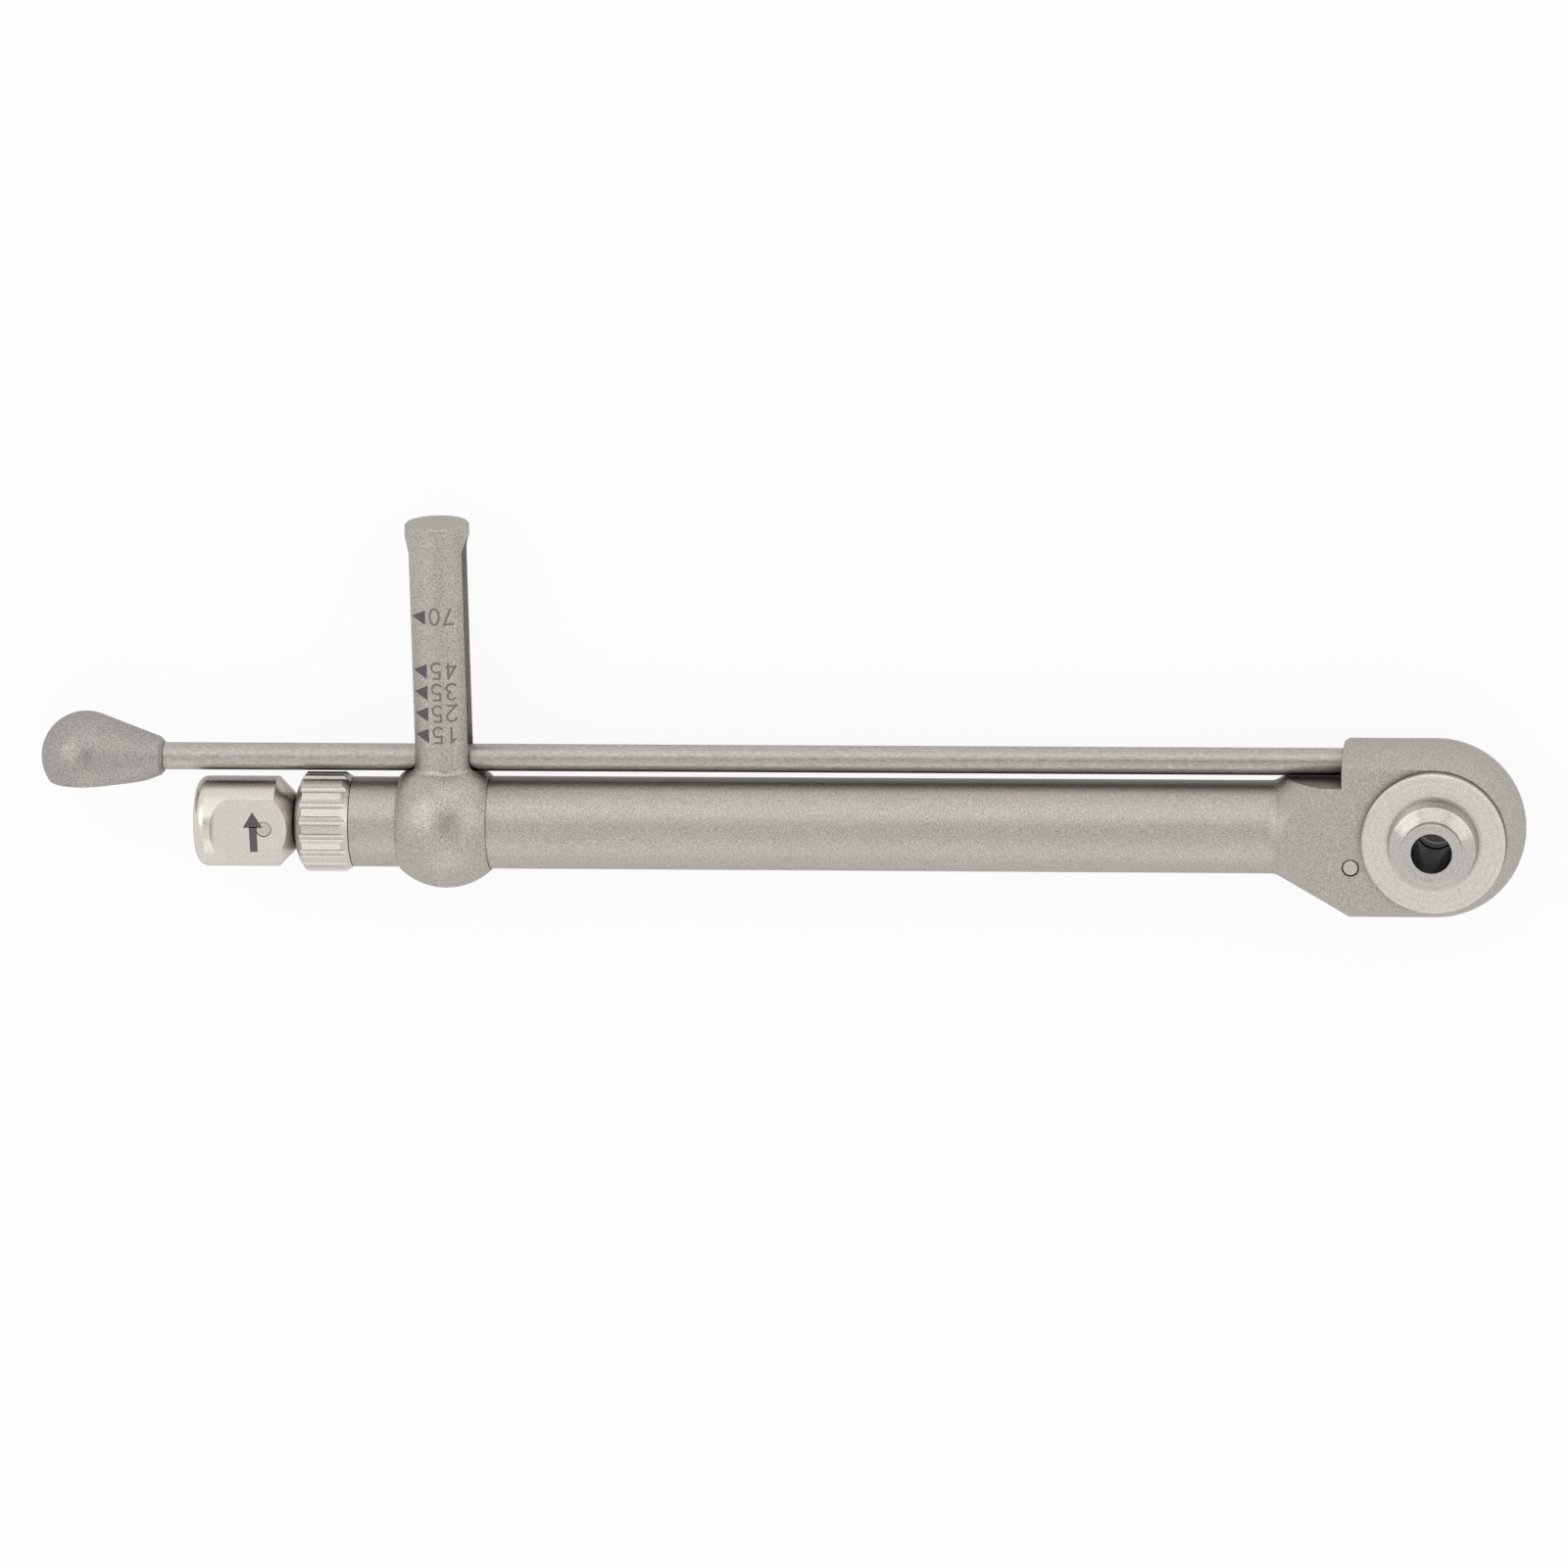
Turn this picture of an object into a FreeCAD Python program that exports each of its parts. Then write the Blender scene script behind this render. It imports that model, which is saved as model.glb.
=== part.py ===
"""Implant torque wrench: ball-ended ratchet head on a slim tube, bending torque rod and slotted scale arm.

Millimetres. X runs along the handle, the head at +X and the arrow knob at -X.
Y points from the handle axis to the torque rod and the scale arm.
Z is the drive axis, and +Z is the face with the scale. The origin is where the drive axis
crosses the handle axis. The wrench lies on its back, on the wheel hub and the scale collar.
"""
import FreeCAD
import Part
import math
import os

# Head, neck and tube, turned from one bar
head_radius = 5.69
head_flat_z = 3.29
head_cylinder_length = 5.5
neck_length = 4.75
neck_blend_radius = 1.0
tube_radius = 2.97
milling_overrun = 0.3
notch_wall_distance = 5.79
notch_floor_gap = 0.04

# Drive axis bores
hub_radius = 3.2
hub_nose = 0.93
wheel_tip_radius = 3.85
tooth_depth = 0.7
tooth_count = 12
space_tip_width = 1.1
space_root_width = 0.96
wheel_top_z = 2.1
wheel_seat_z = -2.2
octagon_width = 4.6
edge_break = 0.12
running_gap = 0.05
wheel_gap = 0.1

# Internal circlip above the wheel
circlip_thickness = 0.46
circlip_width = 0.75
circlip_groove_depth = 0.3
circlip_lug_radius = 0.55
circlip_lug_hole = 0.22
circlip_lug_inset = 0.1
circlip_lug_turn = 6.0
circlip_opening = 50.0

# Exchangeable insert with its finger disc and collar
shank_bore_radius = 1.19
entry_bore_radius = 1.25
entry_bore_floor_z = 0.5
disc_radius = 4.557
disc_top_z = 4.04
disc_gap = 0.08
disc_seat_radius = 2.5
collar_radius = 2.9
collar_crown_radius = 2.72
collar_crown_height = 1.1
ring_radius = 1.93
ring_foot_height = 1.62
insert_top_height = 2.31
insert_recess = 0.12
ring_chamfer = 0.06
clip_slot_z = -3.3
clip_thickness = 0.3
clip_inner_radius = 1.95
clip_outer_radius = 2.62
clip_opening = 60.0
shank_clip_z = -1.0
shank_clip_thickness = 0.5
shank_clip_outer_radius = 1.62
fit_gap = 0.02

# Guide pin beside the pawl
guide_pin_radius = 0.56
guide_pin_distance = 5.29
guide_pin_offset = 1.79
guide_pin_length = 5.6
guide_pin_chamfer = 0.09

# Torque rod and finger drop
rod_radius = 0.876
rod_height = 4.294
rod_seat_depth = 2.6
drop_past_knob = 6.93
drop_radius = 2.88
drop_neck_length = 4.83
drop_tip_radius = 1.25
drop_tip_chamfer = 0.22
drop_flat_depth = 1.5
drop_end_wall = 1.6

# Scale sleeve: collar ball and slotted arm
scale_to_shoulder = 5.95
ball_radius = 4.22
ball_half_width = 2.88
arm_radius = 2.06
arm_top_y = 19.73
arm_fillet = 0.3
slot_width = 2.34
slot_bottom_y = 3.3
slot_top_y = 18.95

# Threaded end, nut and spring bush
handle_length = 69.35
stub_radius = 2.89
stub_length = 4.0
thread_radius = 2.3
thread_length = 2.4
nut_radius = 3.2
nut_length = 3.66
nut_shoulder_gap = 0.06
nut_face_radius = 1.85
nut_face_round = 0.66
nut_face_bulge = 0.1
nut_back_chamfer = 0.47
nut_wall = 0.75
flute_count = 18
flute_phase = 0.75
flute_radius = 0.35
flute_depth = 0.2
bush_flange_radius = 2.15
bush_flange_gap = 0.04
bush_spigot_length = 1.0

# Pawl bolt, return spring and arrow knob
bolt_bore_radius = 1.75
nose_bore_radius = 1.3
nose_bore_end = 4.4
peg_radius = 0.42
peg_root_gap = 0.12
peg_bevel_start = 0.12
nose_face_gap = 0.2
nose_radius = 1.25
land_gap = 0.05
front_land_length = 4.0
waist_radius = 1.0
stem_radius = 1.1
rear_land_length = 1.5
spring_washer_thickness = 0.4
spring_length = 10.85
spring_wire_radius = 0.15
spring_turns = 8
spring_steps = 14
spring_wire_sides = 6
spring_stand_off = 0.03
stem_in_knob = 3.9
knob_radius = 2.9
knob_neck_radius = 1.72
knob_length = 6.61
knob_cone_length = 1.15
knob_crown_radius = 12.5
knob_round = 0.75
knob_flat_z = 2.12
knob_flat_length = 3.92
knob_cutter_radius = 1.5
knob_nut_gap = 0.06
knob_pin_radius = 0.5
knob_pin_distance = 1.87
knob_pin_chamfer = 0.04

# Places worked out from the sizes above
tube_end_x = -handle_length - thread_length
nut_left_x = -handle_length - nut_length
bush_left_x = nut_left_x + nut_wall
bush_right_x = tube_end_x + bush_spigot_length
knob_right_x = nut_left_x - knob_nut_gap
knob_left_x = knob_right_x - knob_length
wheel_root_radius = wheel_tip_radius - tooth_depth
wheel_bore_radius = wheel_tip_radius + wheel_gap
hub_bore_radius = hub_radius + running_gap
hub_bottom_z = -head_flat_z - hub_nose
circlip_seat_z = wheel_top_z + wheel_gap
guide_pin_stop_x = -guide_pin_distance - guide_pin_radius - running_gap
nose_face_x = -wheel_tip_radius - nose_face_gap
land_radius = bolt_bore_radius - land_gap
washer_left_x = bush_right_x + spring_length
rear_land_left_x = washer_left_x + spring_washer_thickness
rear_land_right_x = rear_land_left_x + rear_land_length
drop_x = knob_left_x - drop_past_knob
rod_end_x = drop_x - drop_radius + drop_end_wall
scale_x = -handle_length + scale_to_shoulder
insert_bottom_z = hub_bottom_z + insert_recess
insert_top_z = disc_top_z + insert_top_height

x_axis = FreeCAD.Vector(1, 0, 0)
y_axis = FreeCAD.Vector(0, 1, 0)
z_axis = FreeCAD.Vector(0, 0, 1)
origin = FreeCAD.Vector(0, 0, 0)
far = 3 * head_radius
no_length = 1e-9
cos_45 = math.sqrt(0.5)


def outline(points, across=False):
    """A closed face. A pair is a corner, and two pairs are an arc through the first to the second.

    Corners are (x, y), or (radius, z) with across.
    """
    def place(pair):
        return FreeCAD.Vector(pair[0], 0, pair[1]) if across else FreeCAD.Vector(pair[0], pair[1], 0)

    start = points[0]
    here = start
    edges = []
    for step in points[1:] + [start]:
        curved = isinstance(step[0], tuple)
        end = step[1] if curved else step
        if curved:
            edges.append(Part.Arc(place(here), place(step[0]), place(end)).toShape())
        elif math.dist(here, end) > no_length:
            edges.append(Part.LineSegment(place(here), place(end)).toShape())
        here = end
    return Part.Face(Part.Wire(edges))


def turned_x(points, height=0.0):
    """A solid turned about a line along X at the given Y, from corners (x, radius)."""
    solid = outline(points).revolve(origin, x_axis, 360)
    solid.translate(y_axis * height)
    return solid


def turned_z(points):
    """A solid turned about the drive axis from corners (radius, z)."""
    return outline(points, across=True).revolve(origin, z_axis, 360)


def rod_x(radius, start, end, height=0.0):
    """A round bar along X."""
    return Part.makeCylinder(radius, end - start, FreeCAD.Vector(start, height, 0), x_axis)


def rod_z(radius, bottom, top, x=0.0, y=0.0):
    """A round bar along Z."""
    return Part.makeCylinder(radius, top - bottom, FreeCAD.Vector(x, y, bottom), z_axis)


def block(low, high):
    """A box between two corners."""
    size = [b - a for a, b in zip(low, high)]
    return Part.makeBox(*size, FreeCAD.Vector(*low))


def prism(face_points, bottom, top):
    """A straight-sided solid over an outline in X and Y."""
    solid = outline(face_points).extrude(z_axis * (top - bottom))
    solid.translate(z_axis * bottom)
    return solid


def octagon(width, bottom, top):
    """An eight-sided bar on the drive axis."""
    half_side = math.pi / 8
    corner = width / 2 / math.cos(half_side)
    angles = [half_side * (2 * k + 1) for k in range(8)]
    return prism([(corner * math.cos(a), corner * math.sin(a)) for a in angles], bottom, top)


def open_ring(inner, outer, bottom, top, opening):
    """A flat spring ring on the drive axis, open on its +X side."""
    ring = rod_z(outer, bottom, top).cut(rod_z(inner, bottom, top))
    half = math.radians(opening / 2)
    x = far * math.cos(half)
    y = far * math.sin(half)
    return ring.cut(prism([(0, 0), (x, -y), (x, y)], bottom, top))


def meeting_edges(shape, first, second):
    """The edges where a face of one kind of surface meets a face of another kind."""
    found = []
    for edge in shape.Edges:
        kinds = {type(face.Surface) for face in shape.ancestorsOfType(edge, Part.Face)}
        if kinds == {first, second}:
            found.append(edge)
    return found


def one(shape):
    """The single solid that a piece must be, with split faces merged."""
    solid = shape.removeSplitter()
    assert len(solid.Solids) == 1, "a piece came apart"
    return solid.Solids[0]


def turned_bar():
    """The bar as it leaves the lathe: ball end, short cylinder, neck cone, tube and threaded end."""
    dome = head_radius * cos_45
    stub_start_x = -handle_length + stub_length
    neck_end_x = -head_cylinder_length - neck_length
    slope = math.atan2(head_radius - tube_radius, neck_length)
    reach = neck_blend_radius * math.tan(slope / 2)
    blend_middle_x = neck_end_x - reach + neck_blend_radius * math.sin(slope / 2)
    blend_middle_r = tube_radius + neck_blend_radius * (1 - math.cos(slope / 2))
    return turned_x([
        (head_radius, 0),
        ((dome, dome), (0, head_radius)),
        (-head_cylinder_length, head_radius),
        (neck_end_x + reach * math.cos(slope), tube_radius + reach * math.sin(slope)),
        ((blend_middle_x, blend_middle_r), (neck_end_x - reach, tube_radius)),
        (stub_start_x, tube_radius),
        (stub_start_x, stub_radius),
        (-handle_length, stub_radius),
        (-handle_length, thread_radius),
        (tube_end_x + edge_break, thread_radius),
        (tube_end_x, thread_radius - edge_break),
        (tube_end_x, 0),
    ])


def head_milling():
    """What the milling cutter takes off the head: both flats and the notch under the torque rod."""
    back_x = -head_cylinder_length - neck_length - milling_overrun
    front = block((back_x, -far, head_flat_z), (far, far, far))
    back = block((back_x, -far, -far), (far, far, -head_flat_z))
    floor_y = rod_height - rod_radius - notch_floor_gap
    notch = block((back_x, floor_y, -far), (-notch_wall_distance, far, far))
    return [front, back, notch]


def head_bores():
    """The stepped bore on the drive axis, the circlip groove, and the holes for rod, pin and pawl."""
    groove_radius = wheel_bore_radius + circlip_groove_depth
    groove_top = circlip_seat_z + circlip_thickness + fit_gap
    return [
        rod_z(wheel_bore_radius, wheel_seat_z, far),
        rod_z(hub_bore_radius, -far, wheel_seat_z),
        rod_z(groove_radius, circlip_seat_z - fit_gap, groove_top),
        rod_x(rod_radius + fit_gap, -far, -notch_wall_distance + rod_seat_depth, rod_height),
        rod_z(guide_pin_radius, head_flat_z - guide_pin_length, far, -guide_pin_distance, -guide_pin_offset),
        rod_x(nose_bore_radius, -nose_bore_end, 0),
        rod_x(bolt_bore_radius, tube_end_x, -nose_bore_end),
    ]


def wrench_body():
    """Head, neck and tube in one piece."""
    return one(turned_bar().cut(head_milling() + head_bores()))


def scale_arm():
    """The round arm with its flat top."""
    profile = outline([
        (0, 0),
        (arm_radius, 0),
        (arm_radius, arm_top_y - edge_break),
        (arm_radius - edge_break, arm_top_y),
        (0, arm_top_y),
    ])
    arm = profile.revolve(origin, y_axis, 360)
    arm.translate(x_axis * scale_x)
    return arm


def arm_slot():
    """The slot that the torque rod rises in, round at both ends, cut through the arm along X."""
    radius = slot_width / 2
    low_y = slot_bottom_y + radius
    high_y = slot_top_y - radius
    left_x = scale_x - ball_radius
    right_x = scale_x + ball_radius
    middle = block((left_x, low_y, -radius), (right_x, high_y, radius))
    return [middle, rod_x(radius, left_x, right_x, low_y), rod_x(radius, left_x, right_x, high_y)]


def scale_sleeve():
    """The collar ball pressed on the tube, with the scale arm in one piece with it."""
    ball = Part.makeSphere(ball_radius, FreeCAD.Vector(scale_x, 0, 0))
    ball = ball.common(rod_x(far, scale_x - ball_half_width, scale_x + ball_half_width))
    sleeve = ball.fuse(scale_arm()).removeSplitter()
    sleeve = sleeve.makeFillet(arm_fillet, meeting_edges(sleeve, Part.Sphere, Part.Cylinder))
    return one(sleeve.cut([rod_x(tube_radius, -handle_length, 0)] + arm_slot()))


def torque_rod():
    """The spring rod, seated in the head at one end and in the finger drop at the other."""
    return rod_x(rod_radius, rod_end_x, -notch_wall_distance + rod_seat_depth - fit_gap, rod_height)


def finger_drop():
    """The pear on the rod's end: a ball with a tangent cone, flat on the side that faces the knob."""
    slant = math.hypot(drop_neck_length, drop_tip_radius)
    half_angle = math.atan2(drop_neck_length, drop_tip_radius) - math.acos(drop_radius / slant)
    touch_x = drop_x + drop_radius * math.sin(half_angle)
    touch_r = drop_radius * math.cos(half_angle)
    tip_x = drop_x + drop_neck_length
    pear = turned_x([
        (drop_x - drop_radius, 0),
        ((drop_x, drop_radius), (touch_x, touch_r)),
        (tip_x, drop_tip_radius),
        (tip_x + drop_tip_chamfer, drop_tip_radius - drop_tip_chamfer),
        (tip_x + drop_tip_chamfer, 0),
    ], rod_height)
    flat_y = rod_height - drop_flat_depth
    below = block((drop_x - far, -far, -far), (0, flat_y, far))
    bore = rod_x(rod_radius + fit_gap, rod_end_x - fit_gap, 0, rod_height)
    return one(pear.cut([below, bore]))


def bevelled_pin(radius, bottom, top, chamfer, x, y):
    """A pin along Z with both ends chamfered."""
    pin = turned_z([
        (0, bottom),
        (radius - chamfer, bottom),
        (radius, bottom + chamfer),
        (radius, top - chamfer),
        (radius - chamfer, top),
        (0, top),
    ])
    pin.translate(FreeCAD.Vector(x, y, 0))
    return one(pin)


def guide_pin():
    """The pin beside the pawl, flush with the front flat, that the bolt's front land stops against."""
    radius = guide_pin_radius - fit_gap
    bottom = head_flat_z - guide_pin_length
    centre = (-guide_pin_distance, -guide_pin_offset)
    return bevelled_pin(radius, bottom, head_flat_z, guide_pin_chamfer, *centre)


def wheel_circlip():
    """The internal circlip over the ratchet wheel, with two plier lugs."""
    outer = wheel_bore_radius + circlip_groove_depth - fit_gap
    inner = outer - circlip_width
    top = circlip_seat_z + circlip_thickness
    ring = open_ring(inner, outer, circlip_seat_z, top, circlip_opening)
    reach = inner - circlip_lug_inset
    for side in (-1, 1):
        angle = math.radians(side * (circlip_opening / 2 + circlip_lug_turn))
        x = reach * math.cos(angle)
        y = reach * math.sin(angle)
        ring = ring.fuse(rod_z(circlip_lug_radius, circlip_seat_z, top, x, y))
        ring = ring.cut(rod_z(circlip_lug_hole, circlip_seat_z, top, x, y))
    return one(ring)


def tooth_space(index):
    """One gap between two teeth, straight-sided, as a cutter that reaches past the wheel's rim."""
    half_root = space_root_width / 2
    flare = (space_tip_width - space_root_width) / 2 / tooth_depth
    half_far = half_root + flare * (far - wheel_root_radius)
    root_x = -wheel_root_radius
    corners = [(-far, half_far), (root_x, half_root), (root_x, -half_root), (-far, -half_far)]
    shape = prism(corners, wheel_seat_z, far)
    shape.rotate(origin, z_axis, index * 360.0 / tooth_count)
    return shape


def ratchet_wheel():
    """The toothed wheel with its hub, which shows at the back, and an octagon socket for the insert."""
    seat = wheel_seat_z + running_gap
    wheel = turned_z([
        (0, hub_bottom_z),
        (hub_radius - edge_break, hub_bottom_z),
        (hub_radius, hub_bottom_z + edge_break),
        (hub_radius, seat),
        (wheel_tip_radius, seat),
        (wheel_tip_radius, wheel_top_z),
        (0, wheel_top_z),
    ])
    cuts = [tooth_space(k) for k in range(tooth_count)]
    cuts.append(octagon(octagon_width, hub_bottom_z, wheel_top_z))
    groove_top = clip_slot_z + clip_thickness + fit_gap
    cuts.append(rod_z(clip_outer_radius + running_gap, clip_slot_z - fit_gap, groove_top))
    return one(wheel.cut(cuts))


def drive_spindle():
    """The insert: octagon shank, seat for the finger disc, and the stepped collar above it."""
    disc_bottom = head_flat_z + disc_gap
    shank = octagon(octagon_width - 2 * running_gap, insert_bottom_z, disc_bottom)
    seat = rod_z(disc_seat_radius - fit_gap, disc_bottom, disc_top_z)
    collar = turned_z([
        (0, disc_top_z),
        (collar_radius, disc_top_z),
        (collar_crown_radius, disc_top_z + collar_crown_height),
        (ring_radius, disc_top_z + ring_foot_height),
        (ring_radius, insert_top_z - ring_chamfer),
        (ring_radius - ring_chamfer, insert_top_z),
        (0, insert_top_z),
    ])
    bore = turned_z([
        (0, insert_bottom_z),
        (shank_bore_radius + edge_break, insert_bottom_z),
        (shank_bore_radius, insert_bottom_z + edge_break),
        (shank_bore_radius, entry_bore_floor_z),
        (entry_bore_radius, entry_bore_floor_z),
        (entry_bore_radius, insert_top_z - ring_chamfer),
        (entry_bore_radius + ring_chamfer, insert_top_z),
        (0, insert_top_z),
    ])
    groove_top = clip_slot_z + clip_thickness + fit_gap
    groove = rod_z(octagon_width, clip_slot_z - fit_gap, groove_top)
    groove = groove.cut(rod_z(clip_inner_radius - fit_gap, clip_slot_z - fit_gap, groove_top))
    shank_groove_top = shank_clip_z + shank_clip_thickness + fit_gap
    shank_groove = rod_z(shank_clip_outer_radius + fit_gap, shank_clip_z - fit_gap, shank_groove_top)
    return one(shank.fuse([seat, collar]).cut([bore, groove, shank_groove]))


def finger_disc():
    """The round plate under the collar, turned with a fingertip."""
    bottom = head_flat_z + disc_gap
    return one(turned_z([
        (disc_seat_radius, bottom),
        (disc_radius - edge_break, bottom),
        (disc_radius, bottom + edge_break),
        (disc_radius, disc_top_z - edge_break),
        (disc_radius - edge_break, disc_top_z),
        (disc_seat_radius, disc_top_z),
    ]))


def insert_clip():
    """The open ring that holds the insert in the wheel."""
    top = clip_slot_z + clip_thickness
    return open_ring(clip_inner_radius, clip_outer_radius, clip_slot_z, top, clip_opening)


def shank_clip():
    """The open ring in the insert's bore that grips an instrument's shank."""
    inner = shank_bore_radius + fit_gap
    top = shank_clip_z + shank_clip_thickness
    return open_ring(inner, shank_clip_outer_radius, shank_clip_z, top, clip_opening)


def knurled_nut():
    """The nut on the tube's thread, with straight flutes and a rounded end at the knob."""
    right_x = -handle_length - nut_shoulder_gap
    rise = nut_radius - nut_face_radius
    slant = math.hypot(nut_face_round, rise)
    round_middle_x = nut_left_x + nut_face_round / 2 - nut_face_bulge * rise / slant
    round_middle_r = nut_radius - rise / 2 + nut_face_bulge * nut_face_round / slant
    nut = turned_x([
        (nut_left_x, 0),
        (nut_left_x, nut_face_radius),
        ((round_middle_x, round_middle_r), (nut_left_x + nut_face_round, nut_radius)),
        (right_x - nut_back_chamfer, nut_radius),
        (right_x, stub_radius),
        (right_x, 0),
    ])
    flute_axis = nut_radius - flute_depth + flute_radius
    cuts = []
    for k in range(flute_count):
        flute = rod_x(flute_radius, nut_left_x, right_x, flute_axis)
        flute.rotate(origin, x_axis, (k + flute_phase) * 360.0 / flute_count)
        cuts.append(flute)
    cuts.append(rod_x(thread_radius + running_gap, bush_left_x, right_x))
    cuts.append(rod_x(nose_bore_radius, nut_left_x, bush_left_x))
    return one(nut.cut(cuts))


def spring_seat():
    """The flanged bush between nut and tube end that the return spring pushes on."""
    bush = turned_x([
        (bush_left_x + bush_flange_gap, stem_radius + running_gap),
        (bush_left_x + bush_flange_gap, bush_flange_radius),
        (tube_end_x - bush_flange_gap, bush_flange_radius),
        (tube_end_x - bush_flange_gap, land_radius),
        (bush_right_x, land_radius),
        (bush_right_x, stem_radius + running_gap),
    ])
    return one(bush)


def spring_washer():
    """The washer between the return spring and the bolt's rear land."""
    washer = rod_x(land_radius, washer_left_x, rear_land_left_x)
    return washer.cut(rod_x(stem_radius + running_gap, washer_left_x, rear_land_left_x))


def return_spring():
    """The coil spring round the bolt's stem, between its washer and the bush."""
    mean_radius = (land_radius + stem_radius + running_gap) / 2
    left_x = bush_right_x + spring_stand_off + spring_wire_radius
    right_x = washer_left_x - spring_stand_off - spring_wire_radius
    stations = spring_turns * spring_steps
    wires = []
    for k in range(stations + 1):
        x = left_x + (right_x - left_x) * k / stations
        around = 2 * math.pi * k / spring_steps
        corners = []
        for side in range(spring_wire_sides + 1):
            angle = 2 * math.pi * side / spring_wire_sides
            radius = mean_radius + spring_wire_radius * math.cos(angle)
            shift = spring_wire_radius * math.sin(angle)
            corners.append(FreeCAD.Vector(x + shift, radius * math.cos(around), radius * math.sin(around)))
        wires.append(Part.makePolygon(corners))
    return one(Part.makeLoft(wires, True, True))


def pawl_bolt():
    """The bolt through the tube: bevelled peg, nose, front land, waist, rear land and stem."""
    peg_end_x = -wheel_root_radius - peg_root_gap
    land_back_x = guide_pin_stop_x - front_land_length
    bolt = turned_x([
        (peg_end_x, 0),
        (peg_end_x, peg_radius),
        (nose_face_x, peg_radius),
        (nose_face_x, nose_radius),
        (guide_pin_stop_x, nose_radius),
        (guide_pin_stop_x, land_radius),
        (land_back_x, land_radius),
        (land_back_x, waist_radius),
        (rear_land_right_x, waist_radius),
        (rear_land_right_x, land_radius),
        (rear_land_left_x, land_radius),
        (rear_land_left_x, stem_radius),
        (knob_right_x - stem_in_knob, stem_radius),
        (knob_right_x - stem_in_knob, 0),
    ])
    bevel = prism([
        (peg_end_x, -peg_bevel_start),
        (nose_face_x + fit_gap, peg_radius),
        (peg_end_x, peg_radius),
    ], -peg_radius, peg_radius)
    pin_hole = rod_z(knob_pin_radius, -far, far, knob_right_x - knob_pin_distance)
    return one(bolt.cut([bevel, pin_hole]))


def knob_flats():
    """Both flats of the knob, each ending in the hollow that a round cutter leaves where it stops."""
    stop_x = knob_right_x - knob_flat_length
    centre = FreeCAD.Vector(stop_x, -knob_radius, knob_flat_z + knob_cutter_radius)
    hollow = Part.makeCylinder(knob_cutter_radius, 2 * knob_radius, centre, y_axis)
    flat = block((stop_x, -knob_radius, knob_flat_z), (knob_right_x, knob_radius, knob_radius))
    front = hollow.fuse(flat)
    back = front.copy()
    back.rotate(origin, x_axis, 180)
    return [front, back]


def knob_crown(angle):
    """A point of the knob's slightly domed end, at an angle from the axis."""
    return (knob_left_x + knob_crown_radius * (1 - math.cos(angle)), knob_crown_radius * math.sin(angle))


def arrow_knob():
    """The knob that draws the pawl back and turns it over, with a flat for each arrow."""
    reach = knob_crown_radius - knob_round
    corner_r = knob_radius - knob_round
    crown_angle = math.asin(corner_r / reach)
    corner_x = knob_left_x + knob_crown_radius - reach * math.cos(crown_angle)
    half_way = (crown_angle + math.pi / 2) / 2
    corner_middle = (corner_x - knob_round * math.cos(half_way), corner_r + knob_round * math.sin(half_way))
    knob = turned_x([
        (knob_left_x, 0),
        (knob_crown(crown_angle / 2), knob_crown(crown_angle)),
        (corner_middle, (corner_x, knob_radius)),
        (knob_right_x - knob_cone_length, knob_radius),
        (knob_right_x, knob_neck_radius),
        (knob_right_x, 0),
    ])
    bore = rod_x(stem_radius + fit_gap, knob_right_x - stem_in_knob - fit_gap, knob_right_x)
    pin_hole = rod_z(knob_pin_radius, -far, far, knob_right_x - knob_pin_distance)
    return one(knob.cut(knob_flats() + [bore, pin_hole]))


def knob_pin():
    """The cross pin through knob and bolt, flush with both flats."""
    x = knob_right_x - knob_pin_distance
    return bevelled_pin(knob_pin_radius - fit_gap, -knob_flat_z, knob_flat_z, knob_pin_chamfer, x, 0)


pieces = [
    wrench_body, scale_sleeve, guide_pin, wheel_circlip,
    ratchet_wheel, drive_spindle, finger_disc, insert_clip, shank_clip,
    torque_rod, finger_drop,
    knurled_nut, spring_seat, return_spring, spring_washer,
    pawl_bolt, arrow_knob, knob_pin,
]

os.makedirs("parts", exist_ok=True)
for make in pieces:
    shape = make()
    shape.exportStep(f"parts/{make.__name__}.step")
    print(make.__name__, round(shape.Volume, 3), shape.isValid(), len(shape.Faces))
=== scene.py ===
"""Looks of the implant torque wrench: steel, the bending rod, the coil spring, scale marks and arrows."""
import math

import bmesh
import bpy
from mathutils import Matrix, Vector


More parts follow.
